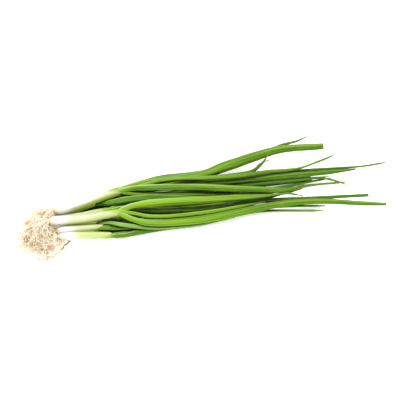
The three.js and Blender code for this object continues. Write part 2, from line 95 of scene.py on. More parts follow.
class Finish:
    # a material and the few helpers that build its nodes
    def __init__(self, name):
        self.material = bpy.data.materials.new(name)
        self.material.use_nodes = True
        self.tree = self.material.node_tree
        self.tree.nodes.clear()

    def node(self, kind, settings=None, sockets=None, out=0):
        made = self.tree.nodes.new(kind)
        for key, value in (settings or {}).items():
            setattr(made, key, value)
        for key, value in (sockets or {}).items():
            if isinstance(value, Wire):
                self.tree.links.new(value.socket, made.inputs[key])
            else:
                made.inputs[key].default_value = value
        return Wire(self, made.outputs[out]) if made.outputs else None

    def mark(self, name):
        return self.node("ShaderNodeAttribute", {"attribute_name": name}, out="Fac")

    def mix(self, factor, first, second):
        colours = [value if isinstance(value, Wire) else (*value, 1) for value in (first, second)]
        return self.node("ShaderNodeMix", {"data_type": "RGBA"},
                         {0: factor, 6: colours[0], 7: colours[1]}, out=2)

    def fade(self, value, low, high):
        return self.node("ShaderNodeMapRange", {"interpolation_type": "SMOOTHSTEP"},
                         {"Value": value, "From Min": low, "From Max": high})

    def cloud(self, vector, scale, detail, rough):
        return self.node("ShaderNodeTexNoise", {}, {"Vector": vector, "Scale": scale, "Detail": detail,
                                                    "Roughness": rough})

    def turn(self):
        # the angle of a place round its tube
        spread = self.node("ShaderNodeUVMap", {"uv_map": "UVMap"})
        return self.node("ShaderNodeSeparateXYZ", {}, {0: spread}) * (2 * math.pi)

    def tubeVector(self, girth, length, reach):
        # a place on a tube without a seam: round the section and along the plant
        turn = self.turn()
        across, upward = turn.maths("COSINE", turn) * girth, turn.maths("SINE", turn) * girth
        return self.node("ShaderNodeCombineXYZ", {}, {0: across, 1: upward, 2: reach * length})

    def facing(self, turn):
        # 1 on the side of a tube at this angle, and -1 on the side opposite
        away = self.turn() - turn
        return away.maths("COSINE", away)

    def finish(self, sockets, height=None, distance=0.0001, strength=1.0):
        if height is not None:
            sockets["Normal"] = self.node("ShaderNodeBump", {}, {"Height": height, "Distance": distance,
                                                                 "Strength": strength})
        shader = self.node("ShaderNodeBsdfPrincipled", {}, sockets)
        self.node("ShaderNodeOutputMaterial", {}, {"Surface": shader})
        return self.material


# every tube is one grid of rows, each row laid round a station
lowest = 0.00002         # the least height of a point above the table
weld = {"skin": 1e-7, "cad": 1e-6}


class Station:
    # a mark is a value, or a function of the angle round the tube
    def __init__(self, centre, side, rise, wide, high, marks):
        self.centre, self.side, self.rise = centre, side, rise
        self.wide, self.high, self.marks = wide, high, marks
        self.carve = None        # share of the section left at an angle
        self.slide = None        # how far along the tube a point moves at an angle

    def at(self, turn):
        share = self.carve(turn) if self.carve else 1
        out = self.side * (self.wide * math.cos(turn)) + self.rise * (self.high * math.sin(turn))
        place = self.centre + out * share
        if self.slide:
            place += self.side.cross(self.rise) * self.slide(turn)
        place.z = max(place.z, lowest)
        return place

    def closed(self):
        return Station(self.centre, self.side, self.rise, 0, 0, self.marks)


# how much of the outlook of a point is blocked by leaves and shanks, which sets the painted shade deep in
# the bunch
outlook = {"spokes": 6, "ahead": 2, "spread": 0.9, "far": 0.012, "start": 0.0006, "openRim": 3}


class Thicket:
    def __init__(self):
        bm = bmesh.new()
        for name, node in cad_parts.items():
            if name.startswith(("leaf_", "shank_")):
                bm.from_mesh(node.data)
        self.tree = BVHTree.FromBMesh(bm)
        bm.free()

    def blocked(self, place, outward):
        side = outward.orthogonal().normalized()
        rise = outward.cross(side)
        start, hits = place + outward * outlook["start"], 0
        for spoke in range(outlook["spokes"]):
            turn = 2 * math.pi * spoke / outlook["spokes"]
            aim = outward + (side * math.cos(turn) + rise * math.sin(turn)) * outlook["spread"]
            if self.tree.ray_cast(start, aim.normalized(), outlook["far"])[0]:
                hits += 1
        if self.tree.ray_cast(start, outward, outlook["far"])[0]:
            hits += outlook["ahead"]
        return hits / (outlook["spokes"] + outlook["ahead"])


thicket = Thicket()
print("thicket ready")


# one piece from its tubes, with marks stored on its points
def skin(name, tubes, sides, marks, shaded=False):
    rows = [station for tube in tubes for station in tube]
    starts, row = set(), 0
    for tube in tubes:
        starts.add(row)
        row += len(tube)
    bm = bmesh.new()
    bm.loops.layers.uv.new("UVMap")
    layers = {mark: bm.verts.layers.float.new(mark) for mark in marks}
    bmesh.ops.create_grid(bm, x_segments=sides, y_segments=len(rows) - 1, size=0.5, calc_uvs=True)
    rowOf = {vert: round((vert.co.y + 0.5) * (len(rows) - 1)) for vert in bm.verts}
    between = [face for face in bm.faces if max(rowOf[vert] for vert in face.verts) in starts]
    for vert in bm.verts:
        station, turn = rows[rowOf[vert]], (vert.co.x + 0.5) * 2 * math.pi
        vert.co = station.at(turn)
        for mark, layer in layers.items():
            value = station.marks[mark]
            vert[layer] = value(turn) if callable(value) else value
    bmesh.ops.delete(bm, geom=between, context="FACES")
    bmesh.ops.remove_doubles(bm, verts=bm.verts, dist=weld["skin"])
    bmesh.ops.recalc_face_normals(bm, faces=bm.faces)
    if shaded:
        # painted shade: each point darkens by how much of its outlook the bunch blocks, less near a cut
        # edge
        depth = bm.verts.layers.float.new("paintedShade")
        for vert in bm.verts:
            rim = vert[layers["edge"]] if "edge" in layers else 0
            vert[depth] = thicket.blocked(vert.co, vert.normal) * (1 - min(rim * outlook["openRim"], 1))
    mesh = bpy.data.meshes.new(name)
    bm.to_mesh(mesh)
    bm.free()
    for polygon in mesh.polygons:
        polygon.use_smooth = True
    piece = bpy.data.objects.new(name, mesh)
    bpy.context.scene.collection.objects.link(piece)
    return piece


def place(piece, material, node, slot):
    piece.data.materials.append(material)
    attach(piece, "root")
    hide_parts(node)


# the rings of a CAD tube from its base on: middle, half width and half height
def ringsOf(node, sides):
    bm = bmesh.new()
    bm.from_mesh(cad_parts[node].data)
    bmesh.ops.remove_doubles(bm, verts=bm.verts, dist=weld["cad"])
    bm.verts.ensure_lookup_table()
    poles = [vert for vert in bm.verts if len(vert.link_edges) == sides]
    layer = [min(poles, key=lambda vert: vert.co.x)]
    seen, rings = set(layer), []
    while layer:
        beyond = []
        for vert in layer:
            for edge in vert.link_edges:
                other = edge.other_vert(vert)
                if other not in seen:
                    seen.add(other)
                    beyond.append(other)
        layer = beyond
        if len(layer) == sides:
            rings.append([vert.co.copy() for vert in layer])
    bm.free()
    centres = [sum(ring, Vector()) / sides for ring in rings]
    found = []
    for index, ring in enumerate(rings):
        along = (centres[min(index + 1, len(rings) - 1)] - centres[max(index - 1, 0)]).normalized()
        side = up.cross(along).normalized()
        rise = along.cross(side)
        reach = 1 / math.cos(math.pi / sides)
        wide = max(abs((corner - centres[index]).dot(side)) for corner in ring) * reach
        high = max(abs((corner - centres[index]).dot(rise)) for corner in ring) * reach
        found.append((centres[index], wide, high))
    return found


def smoothStep(value, low, high):
    share = min(max((value - low) / (high - low), 0), 1)
    return share * share * (3 - 2 * share)


# a smooth run of places between rings, by distance
class Run:
    def __init__(self, rings):
        self.rings = rings
        self.places = [0.0]
        for (before, _, _), (after, _, _) in zip(rings, rings[1:]):
            self.places.append(self.places[-1] + (after - before).length)
        self.length = self.places[-1]

    def at(self, distance):
        places, rings = self.places, self.rings
        index = 0
        while index < len(places) - 2 and places[index + 1] < distance:
            index += 1
        gap = places[index + 1] - places[index]
        share = (distance - places[index]) / gap if gap else 0
        keys = [rings[min(max(index + step, 0), len(rings) - 1)] for step in (-1, 0, 1, 2)]
        times = [places[min(max(index + step, 0), len(rings) - 1)] for step in (-1, 0, 1, 2)]

        def blend(part):
            first, start, end, last = (key[part] for key in keys)
            slopeStart = slopeEnd = end - start
            if times[2] > times[0]:
                slopeStart = (end - first) * (gap / (times[2] - times[0]))
            if times[3] > times[1]:
                slopeEnd = (last - start) * (gap / (times[3] - times[1]))
            if share > 1:
                return end + (end - start) * (share - 1)
            square, cube = share * share, share ** 3
            return (start * (2 * cube - 3 * square + 1) + slopeStart * (cube - 2 * square + share)
                    + end * (3 * square - 2 * cube) + slopeEnd * (cube - square))
        return blend(0), blend(1), blend(2)

    def turned(self, distance):
        step = 0.0005
        ahead = self.at(min(distance + step, self.length))[0]
        behind = self.at(max(distance - step, 0))[0]
        along = (ahead - behind).normalized()
        side = up.cross(along).normalized()
        return along, side, along.cross(side)


# finishes
green = {"white": (0.60, 0.59, 0.54), "pale": (0.37, 0.40, 0.17), "spring": (0.31, 0.41, 0.034),
         "leaf": (0.104, 0.232, 0.003), "toneAndLight": (0.165, 0.310, 0.004), "deep": (0.028, 0.098, 0.0020),
         "far": (0.046, 0.108, 0.004), "yellow": (0.22, 0.33, 0.010), "straw": (0.19, 0.19, 0.05),
         "bloom": (0.22, 0.33, 0.10), "bruiseAndShade": (0.006, 0.021, 0.0015), "rim": (0.32, 0.43, 0.12),
         "line": (0.30, 0.43, 0.05), "shade": (0.12, 0.17, 0.012), "old": (0.080, 0.165, 0.006),
         "grey": (0.17, 0.30, 0.070), "greyDeep": (0.07, 0.15, 0.028), "limpShade": (0.018, 0.046, 0.002),
         "limpShadeDeep": (0.008, 0.022, 0.001)}
tan = {"foot": (0.50, 0.41, 0.25), "patch": (0.50, 0.42, 0.24), "edge": (0.52, 0.41, 0.24),
       "cream": (0.82, 0.76, 0.63), "straw": (0.68, 0.54, 0.33), "blotch": (0.50, 0.29, 0.10),
       "start": (0.58, 0.44, 0.24), "spot": (0.34, 0.20, 0.08), "olive": (0.11, 0.13, 0.02),
       "old": (0.40, 0.28, 0.11)}
# painted highlight: the lit upper side of each leaf, where the light falls
highlightSide = 1.15         # the angle round a leaf where it is palest


def grownColour(finish, grown, fine, fresh):
    # white foot, pale neck, spring green, then the leaf's own green
    colour = finish.mix(finish.fade(grown + fine * 0.012, 0.010, 0.040), green["white"], green["pale"])
    colour = finish.mix(finish.fade(grown + fine * 0.016, 0.032, 0.062), colour, green["spring"])
    return finish.mix(finish.fade(grown + fine * 0.024, 0.052, 0.100), colour, fresh)


def leafFinish(name, fresh, deep, bloomMost, dryFrom):
    finish = Finish(name)
    reach, left, tint = finish.mark("reach"), finish.mark("left"), finish.mark("tint")
    grown, paintedShade = finish.mark("grown"), finish.mark("paintedShade")
    fine = finish.cloud(finish.tubeVector(9, 26, reach), 1.0, 3.0, 0.6)
    broad = finish.cloud(finish.tubeVector(0.8, 22, reach + tint), 1.0, 2.0, 0.5)
    veins = finish.cloud(finish.tubeVector(16, 9, reach), 1.0, 1.0, 0.4)
    patches = finish.cloud(finish.tubeVector(1.6, 60, reach - tint), 1.0, 4.0, 0.62)
    streaks = finish.cloud(finish.tubeVector(2.4, 6, reach + tint * 3), 1.0, 2.0, 0.55)
    spray = finish.cloud(finish.tubeVector(5, 420, reach), 1.0, 3.0, 0.7)
    # the green of the leaf, another one far out and a brighter one on some leaves: partly their own tone
    # and partly painted light, brighter where a leaf sits in the light
    body = finish.mix(finish.fade(reach, 0.12, 0.25) * 0.75, fresh, green["far"])
    toneAndLight = finish.fade(tint + broad * 0.3 - reach * 1.6, 0.15, 0.85)
    colour = grownColour(finish, grown, fine, finish.mix(toneAndLight, body, green["toneAndLight"]))
    # clouds, veins and streaks
    clouded = finish.fade(broad - tint * 0.16, 0.40, 0.66) * finish.fade(grown, 0.06, 0.12)
    colour = finish.mix(clouded, colour, deep)
    colour = finish.mix(finish.fade(fine, 0.52, 0.72) * 0.40, colour, green["yellow"])
    colour = finish.mix(finish.fade(veins, 0.46, 0.30) * 0.40, colour, deep)
    darker = finish.fade(streaks, 0.54, 0.38) * finish.fade(grown, 0.07, 0.12)
    colour = finish.mix(darker * 0.80, colour, deep)
    colour = finish.mix(finish.fade(streaks, 0.54, 0.68) * 0.55, colour, green["yellow"])
    # painted highlight: a paler upper side where the light falls, strongest near the shank
    rim = finish.fade(finish.facing(highlightSide), 0.80, 0.97) * finish.fade(grown, 0.55, 0.10)
    colour = finish.mix(rim * finish.fade(streaks, 0.3, 0.6) * 0.42, colour, green["rim"])
    ridgeHighlight = finish.fade(finish.facing(highlightSide), 0.86, 0.985) * finish.fade(grown, 0.17, 0.07)
    colour = finish.mix(ridgeHighlight * 0.75, colour, green["pale"])
    # painted shade deep in the bunch, then bloom, specks and a dry tip
    colour = finish.mix(finish.fade(paintedShade, 0.12, 0.62) * 0.94, colour, green["bruiseAndShade"])
    bloom = finish.fade(patches, 0.50, 0.68) * finish.fade(grown, 0.05, 0.12) * bloomMost
    colour = finish.mix(bloom, colour, green["bloom"])
    specks = finish.fade(spray, 0.70, 0.76)
    colour = finish.mix(specks * 0.5, colour, green["bruiseAndShade"])
    dry = finish.fade(left + fine * 0.012, dryFrom, 0.004)
    colour = finish.mix(dry * 0.75, colour, green["straw"])
    rough = 0.32 + bloom * 0.35 + fine * 0.14
    relief = veins * 0.7 + fine * 0.5 + specks * -0.3
    return finish.finish({"Base Color": colour, "Roughness": rough, "Specular IOR Level": 0.11,
                          "Subsurface Weight": 0.08, "Subsurface Radius": (0.4, 1.0, 0.1),
                          "Subsurface Scale": 0.0010}, relief, 0.00022, 0.55)


def shankFinish(name):
    finish = Finish(name)
    reach, tint, edge = finish.mark("reach"), finish.mark("tint"), finish.mark("edge")
    grown, paintedShade = finish.mark("grown"), finish.mark("paintedShade")
    fine = finish.cloud(finish.tubeVector(10, 30, reach), 1.0, 3.0, 0.6)
    veins = finish.cloud(finish.tubeVector(20, 7, reach + tint), 1.0, 1.0, 0.4)
    patches = finish.cloud(finish.tubeVector(1.2, 90, reach - tint), 1.0, 3.0, 0.6)
    colour = grownColour(finish, grown, fine, green["leaf"])
    foot = finish.fade(reach + patches * 0.006, 0.009, 0.003)
    colour = finish.mix(foot * 0.6, colour, tan["foot"])
    lines = finish.fade(veins, 0.48, 0.32) * finish.fade(grown, 0.012, 0.045)
    colour = finish.mix(lines * 0.4, colour, green["line"])
    colour = finish.mix(finish.fade(patches, 0.60, 0.74) * 0.35, colour, tan["patch"])
    colour = finish.mix(edge * finish.fade(patches, 0.35, 0.60) * 0.8, colour, tan["edge"])
    # painted shade: the shanks darken deep in the bunch, where the leaves block their outlook
    colour = finish.mix(finish.fade(paintedShade, 0.80, 1.0) * 0.3, colour, green["shade"])
    rough = 0.26 + patches * 0.2 + edge * 0.3
    return finish.finish({"Base Color": colour, "Roughness": rough, "Specular IOR Level": 0.45,
                          "Subsurface Weight": 0.22, "Subsurface Radius": (1.0, 0.9, 0.45),
                          "Subsurface Scale": 0.002}, veins * 0.8 + fine * 0.4, 0.0002, 0.5)


def rootFinish(name):
    finish = Finish(name)
    share, tint = finish.mark("share"), finish.mark("tint")
    spot = finish.node("ShaderNodeTexCoord", out="Object")
    spots = finish.cloud(spot, 900, 3.0, 0.6)
    clumps = finish.cloud(spot, 130, 2.0, 0.5)
    colour = finish.mix(finish.fade(tint, 0.45, 1.0), tan["cream"], tan["straw"])
    colour = finish.mix(finish.fade(clumps, 0.54, 0.62) * 0.85, colour, tan["blotch"])
    colour = finish.mix(finish.fade(share, 0.2, 0.0) * 0.35, colour, tan["start"])
    colour = finish.mix(finish.fade(spots, 0.62, 0.76) * 0.35, colour, tan["spot"])
    # a tint of 2 marks the stray root, olive at first and then tan
    stray = finish.mix(finish.fade(share, 0.30, 0.60), tan["olive"], tan["old"])
    colour = finish.mix(finish.fade(tint, 1.5, 2.0), colour, stray)
    return finish.finish({"Base Color": colour, "Roughness": 0.55 + spots * 0.2, "Subsurface Weight": 0.3,
                          "Subsurface Radius": (1.0, 0.85, 0.6), "Subsurface Scale": 0.0012},
                         spots, 0.0001, 0.4)


freshLeaf = leafFinish("freshLeaf", green["leaf"], green["deep"], 0.22, 0.010)
greyLeaf = leafFinish("greyLeaf", green["grey"], green["greyDeep"], 0.5, 0.012)
oldLeaf = leafFinish("oldLeaf", green["old"], green["deep"], 0.2, 0.014)
# painted shade: a near-black green for the limp leaves that fill the shaded gaps
limpShadeLeaf = leafFinish("limpShadeLeaf", green["limpShade"], green["limpShadeDeep"], 0.05, 0.004)
whiteShank = shankFinish("whiteShank")
rootSkin = rootFinish("rootSkin")
print("finishes made")

# shanks: a white foot, a round body, an outer sheath cut off slantwise and a green core inside it
shanks = {"sides": 12, "around": 40, "step": 0.0010, "back": 0.0085, "tip": 0.0050, "edge": 0.0012,
          "foot": (0, 0.5, 0.85, 0.97), "greenFrom": (0.002, 0.026), "sideFrom": (0.006, 0.022),
          "taper": 0.10, "taperFrom": 0.006, "shear": 0.012, "ragged": (0.0004, 0.0003), "ripple": 0.014,
          "lip": ((0, 0.035, 1), (0.001, 0.05, 0.5), (0.006, 0.06, 0)), "core": 0.90, "coreBack": 0.008,
          "coreFrom": 0.002, "coreEnd": 0.52, "lap": 0.0105, "greening": 1.4}
longLap = {"a": 1.8}     # a core that runs on further between its leaves
plants = "abhgcfde"
# how green each sheath is below and at its end, and its leaves where they start
sheathTone = {"a": (0.038, 0.050), "b": (0.012, 0.028), "h": (0.030, 0.045), "g": (0.018, 0.036),
              "c": (0.023, 0.030), "f": (0.036, 0.058), "d": (0.024, 0.036), "e": (0.025, 0.037)}
leafTone = {"a": 0.078, "b": 0.062, "h": 0.066, "g": 0.068, "c": 0.058, "f": 0.068, "d": 0.078, "e": 0.068}
# the side of each sheath that reaches furthest, and by how much more or less than usual
tipAt = {"a": 2.4, "b": 3.3, "h": 2.4, "g": 2.0, "c": 3.4, "f": 2.4, "d": 1.5, "e": 1.8}
tipMore = {"a": 0.0, "b": 0.001, "h": 0.0, "g": -0.006, "c": 0.0, "f": 0.0, "d": 0.002, "e": -0.001}
# the side of each shank that is greener, and by how much
greenSide = {"a": (4.2, 0.010), "b": (3.9, 0.030), "h": (0.0, 0.0), "g": (4.2, 0.010), "c": (4.4, 0.014),
             "f": (0.0, 0.0), "d": (4.4, 0.016), "e": (1.0, 0.006)}
shankRuns = {}


def makeShank(plant, number):
    rings = ringsOf(f"shank_{plant}", shanks["sides"])
    outside = Run(rings[:-2])
    shankRuns[plant] = outside
    draw = random.Random(500 + number)
    tint, wave = draw.random(), draw.uniform(0, 6.3)
    top = outside.length
    slope = shanks["back"] + shanks["tip"] + tipMore[plant]

    def ring(distance, share, grown, edge=0.0):
        # a straight run past the last CAD ring
        centre, wide, high = outside.at(min(distance, top))
        along, side, rise = outside.turned(min(distance, top))
        return Station(centre + along * max(distance - top, 0), side, rise, wide * share, high * share,
                       {"reach": distance, "tint": tint, "edge": edge, "grown": grown})

    def ripple(distance):
        return lambda turn: 1 + shanks["ripple"] * math.sin(3 * turn + wave + distance * 60)

    def sheathRing(distance, share, edge=0.0):
        below, above = sheathTone[plant]
        tone = below * smoothStep(distance, *shanks["greenFrom"])
        tone += (above - below) * smoothStep(distance, 0.4 * top, top)

        def grown(turn):
            facing = smoothStep(math.cos(turn - greenSide[plant][0]), -0.1, 0.7)
            return tone + greenSide[plant][1] * facing * smoothStep(distance, *shanks["sideFrom"])
        made = ring(distance, share, grown, edge)
        past = smoothStep(distance, top - shanks["back"] - shanks["shear"], top - shanks["back"])

        def slide(turn):
            facing = 0.5 + 0.5 * math.cos(turn - tipAt[plant])
            ragged = shanks["ragged"][0] * math.sin(9 * turn + wave)
            ragged += shanks["ragged"][1] * math.sin(17 * turn + 2 * wave)
            return (slope * facing ** 1.6 + ragged) * past
        made.slide, made.carve = slide, ripple(distance)
        return made

    end, rim = top - shanks["back"], 1 - shanks["taper"]
    tube = [sheathRing(0, share) for share in shanks["foot"]]
    count = round(end / shanks["step"])
    for index in range(count + 1):
        distance = end * index / count
        taper = shanks["taper"] * smoothStep(distance, end - shanks["taperFrom"], end)
        tube.append(sheathRing(distance, 1 - taper, smoothStep(distance, end - shanks["edge"], end)))
    tube += [sheathRing(end - back, rim - thick, edge) for back, thick, edge in shanks["lip"]]
    tube.append(sheathRing(end - shanks["lip"][-1][0], 0))
    sheath = skin(f"sheath_{plant}", [tube], shanks["around"], ("reach", "tint", "edge", "grown"), True)
    place(sheath, whiteShank, f"shank_{plant}", "shank")

    # the core starts well inside the sheath and tapers off between the leaf bases
    start, finish = end - shanks["coreBack"], top + shanks["lap"] * longLap.get(plant, 1)
    count = round((finish - start) / shanks["step"])
    tube, taper = [ring(start, 0, leafTone[plant])], shanks["coreEnd"] - shanks["core"]
    for index in range(count + 1):
        distance = start + (finish - start) * index / count
        share = shanks["core"] + taper * smoothStep(distance, top - shanks["coreFrom"], finish)
        made = ring(distance, share, leafTone[plant] + (distance - top) * shanks["greening"])
        made.carve = ripple(distance)
        tube.append(made)
    tube.append(ring(finish, 0, leafTone[plant]))
    core = skin(f"core_{plant}", [tube], shanks["around"], ("reach", "tint", "edge", "grown"), True)
    place(core, whiteShank, f"shank_{plant}", "shank")


for number, plant in enumerate(plants):
    makeShank(plant, number)
print("shanks made")

# leaves
leaves = {"sides": 8, "full": 1.05, "uneven": 0.035, "around": 28, "step": 0.0022, "inset": 0.0064,
          "groove": 0.16, "grooveWide": 0.42, "ribs": 0.01, "cutWall": 0.10, "cutDepth": 0.020,
          "cutRows": 6, "greening": 1.7, "open": 0.034, "opening": (0.003, 0.016), "flare": 0.9,
          "tip": (0.0004, 0.0009, 0.012), "tipFlat": 0.7}
earlyOpening = {"a1": (0.0, 0.009)}
# how bright each leaf's green is: partly its own tone and partly painted light and shade, brighter on
# leaves in the light, darker on leaves in shade
leafToneAndLight = {"a1": 0.15, "a3": 0.3, "a4": 0.1, "b1": 0.55, "b2": 0.5, "b3": 0.3, "b4": 0.55, "h1": 0.4,
             "h2": 0.35, "h3": 0.3, "h4": 0.5, "g1": 0.1, "g2": 0.25, "c1": 0.7, "c2": 0.8, "c3": 0.55,
             "f1": 0.3, "f2": 0.3, "d1": 0.3, "d2": 0.2, "d3": 0.2, "e1": 0.05, "e2": 0.1}
leafNames = {"a": "341", "b": "1423", "h": "4312", "g": "21", "c": "123", "f": "21", "d": "312", "e": "21"}
cutLeaves, greyLeaves, oldLeaves = ("b1", "g1", "c3"), ("f1",), ("a4", "h4", "e1", "e2")


def makeLeaf(plant, name, number):
    cut = name in cutLeaves
    rings = ringsOf(f"leaf_{name}", leaves["sides"])
    run = Run(rings[:-2] if cut else rings)
    draw = random.Random(900 + number)
    tint, seed = leafToneAndLight[name], draw.uniform(0, 50)
    before = shankRuns[plant].length - leaves["inset"]
    grooveAt, grooveTurn = draw.uniform(0.2, 0.8) * math.pi, draw.uniform(-6, 6)
    count = max(round(run.length / leaves["step"]), 8)
    _, fullWide, fullHigh = run.at(leaves["open"])

    def station(distance, share):
        centre, wide, high = run.at(distance)
        _, side, rise = run.turned(distance)
        # the leaf widens fast out of the collar and keeps a least width near its tip
        opened = leaves["flare"] * smoothStep(distance, *earlyOpening.get(name, leaves["opening"]))
        if distance >= leaves["open"]:
            opened = 0
        least = leaves["tip"][0] + leaves["tip"][1] * smoothStep(run.length - distance, 0, leaves["tip"][2])
        wide = max(wide, least, opened * fullWide)
        high = max(high, least * leaves["tipFlat"], opened * fullHigh)
        unevenness = leaves["full"] + leaves["uneven"] * noise.noise(Vector((distance * 45, seed, 0)))
        made = Station(centre, side, rise, wide * share * unevenness, high * share * unevenness,
                       {"reach": before + distance, "left": run.length - distance, "tint": tint,
                        "grown": leafTone[plant] + distance * leaves["greening"]})
        depth = leaves["groove"] * max(noise.noise(Vector((distance * 14, seed, 7))) + 0.25, 0)
        depth *= smoothStep(distance, 0.02, 0.05) * smoothStep(run.length - distance, 0.004, 0.03)
        middle = grooveAt + grooveTurn * distance + noise.noise(Vector((distance * 20, seed, 3))) * 0.5

        def carve(turn):
            away = (turn - middle + math.pi) % (2 * math.pi) - math.pi
            ribs = leaves["ribs"] * math.cos(5 * turn + seed)
            return 1 - depth * math.exp(-(away / leaves["grooveWide"]) ** 2) + ribs
        made.carve = carve
        return made

    tube = [station(0, 0), station(0, 0.6)]
    tube += [station(run.length * index / count, 1) for index in range(count + 1)]
    if cut:
        inner = 1 - leaves["cutWall"]
        tube.append(station(run.length, inner))
        for step in range(1, leaves["cutRows"] + 1):
            inside = run.length - leaves["cutDepth"] * step / leaves["cutRows"]
            tube.append(station(inside, inner * 0.98))
        tube.append(station(run.length - leaves["cutDepth"], 0))
    else:
        tube += [station(run.length, 0.6), station(run.length, 0)]
    piece = skin(f"blade_{name}", [tube], leaves["around"], ("reach", "left", "tint", "grown"), True)
    finish = greyLeaf if name in greyLeaves else oldLeaf if name in oldLeaves else freshLeaf
    place(piece, finish, f"leaf_{name}", "leaf")


number = 0
for plant in plants:
    for digit in leafNames[plant]:
        makeLeaf(plant, plant + digit, number)
        number += 1
print("leaves made")

# flat strips: small split tips beside three leaves, and limp leaves that lie under the others, whose dark
# green paints the shade seen in the gaps
strips = {"around": 14, "step": 0.0011, "flat": 0.7, "foot": 0.35, "footEnd": 0.12, "reach": 0.12,
          "tint": 0.2, "grown": 0.3}
# each split tip: its path, half width and taper
splits = {"h2": (((0.1100, 0.0002, 0.0103), (0.1180, -0.0016, 0.0108), (0.1245, -0.0029, 0.0110),
                  (0.1368, -0.0044, 0.0110)), 0.0011, 0.50),
          "b2": (((0.0870, -0.0170, 0.0134), (0.0930, -0.0152, 0.0130), (0.0973, -0.0134, 0.0130),
                  (0.1059, -0.0110, 0.0130)), 0.0012, 0.50),
          "a4": (((0.0620, 0.0262, 0.0162), (0.0660, 0.0286, 0.0168), (0.0691, 0.0300, 0.0170),
                  (0.0783, 0.0321, 0.0172)), 0.0010, 0.50)}
limpShade = {"wide": 0.0046, "high": 0.0009, "slimBy": 0.35, "guides": {
    "a1": ((-0.1420, 0.0143, 0.0014), (-0.1330, 0.0155, 0.0018), (-0.1244, 0.0178, 0.0020),
           (-0.1156, 0.0200, 0.0022), (-0.1069, 0.0204, 0.0022), (-0.0989, 0.0160, 0.0020),
           (-0.0860, 0.0120, 0.0016), (-0.0700, 0.0080, 0.0014)),
    "h3": ((-0.0640, 0.0440, 0.0014), (-0.0500, 0.0415, 0.0012), (-0.0157, 0.0347, 0.0012),
           (0.0259, 0.0235, 0.0012), (0.0500, 0.0215, 0.0011)),
    "h2": ((0.0180, 0.0208, 0.0014), (0.0325, 0.0191, 0.0013), (0.0498, 0.0166, 0.0012),
           (0.0649, 0.0141, 0.0012), (0.0824, 0.0119, 0.0012), (0.1021, 0.0097, 0.0012),
           (0.1190, 0.0082, 0.0011)),
    "g2": ((-0.0700, 0.0250, 0.0014), (-0.0411, 0.0206, 0.0012), (0.0007, 0.0128, 0.0012),
           (0.0371, 0.0048, 0.0012), (0.0600, -0.0005, 0.0011)),
    "f2": ((-0.1003, 0.0080, 0.0014), (-0.0624, -0.0014, 0.0012), (-0.0267, -0.0085, 0.0012),
           (0.0052, -0.0104, 0.0012), (0.0439, -0.0090, 0.0011)),
    "g1": ((-0.1110, -0.0045, 0.0014), (-0.1030, -0.0043, 0.0013), (-0.0949, -0.0057, 0.0012),
           (-0.0851, -0.0089, 0.0012), (-0.0726, -0.0141, 0.0012), (-0.0581, -0.0196, 0.0011)),
    "d2": ((-0.1240, -0.0150, 0.0012), (-0.1170, -0.0158, 0.0012), (-0.1030, -0.0192, 0.0012),
           (-0.0829, -0.0230, 0.0012), (-0.0628, -0.0262, 0.0011))}}
clearLimp = {"h2": 1.45}     # a limp leaf that shows clearly, and how much wider it is


def makeStrip(name, guide, wide, high, slimBy, finish, node):
    run = Run([(Vector(point), wide, high) for point in guide])
    count = max(round(run.length / strips["step"]), 8)
    tube = []
    for index in range(count + 1):
        share = index / count
        distance = run.length * share
        centre = run.at(distance)[0]
        _, side, rise = run.turned(distance)
        slim = strips["foot"] + (1 - strips["foot"]) * smoothStep(share, 0, strips["footEnd"])
        slim *= 1 - slimBy * share
        tube.append(Station(centre, side, rise, wide * slim, high * slim,
                            {"reach": strips["reach"] + distance, "left": run.length - distance,
                             "tint": strips["tint"], "grown": strips["grown"]}))
    tube = [tube[0].closed()] + tube + [tube[-1].closed()]
    piece = skin(name, [tube], strips["around"], ("reach", "left", "tint", "grown"), True)
    place(piece, finish, node, "leaf")


for name, (guide, thick, slimBy) in splits.items():
    makeStrip(f"split_{name}", guide, thick, thick * strips["flat"], slimBy, freshLeaf, f"leaf_{name}")
for name, guide in limpShade["guides"].items():
    wide = limpShade["wide"] * clearLimp.get(name, 1)
    finish = oldLeaf if name in clearLimp else limpShadeLeaf
    makeStrip(f"limp_{name}", guide, wide, limpShade["high"], limpShade["slimBy"], finish, f"leaf_{name}")
print("strips made")

# roots: a tangled mat in front of the feet, which curls down on to the table
roots = {"strands": 104, "around": 5, "between": 3, "step": 0.0046, "vary": (0.7, 1.2), "steps": (7, 13),
         "sink": 0.001, "spread": 0.72, "pull": 0.34, "wander": 1.05, "front": -0.2080, "last": -0.2125,
         "middle": (-0.1745, -0.0165), "half": (0.0255, 0.0310), "lean": 0.18, "height": 0.012,
         "low": 0.0006, "floor": (0.0004, 0.001), "ceiling": 0.004, "fringe": 0.005, "behind": 0.004,
         "thick": (0.00020, 0.00054), "slimBy": 0.6, "curl": (0.0001, 0.0007), "coils": (900, 760)}
hairs = {"each": 2, "long": (0.0012, 0.0030), "bend": 0.25, "rows": 4, "thick": 0.00016}
plate = {"around": 24, "tint": 0.9, "rows": ((-0.0003, 0), (-0.0003, 0.96), (0.0006, 1.0), (0.0016, 0.86),
                                             (0.0025, 0.5), (0.0028, 0))}
# a long root that curves round the front of the mat: its path, thickness, tint and taper
strays = {"e": (((-0.1560, -0.0170, 0.0030), (-0.1500, -0.0200, 0.0014), (-0.1495, -0.0232, 0.0009),
                 (-0.1530, -0.0262, 0.0009), (-0.1572, -0.0302, 0.0009), (-0.1614, -0.0359, 0.0009),
                 (-0.1665, -0.0399, 0.0010), (-0.1720, -0.0419, 0.0010), (-0.1784, -0.0428, 0.0010),
                 (-0.1850, -0.0415, 0.0009)), 0.00090, 2.0, 0.45)}


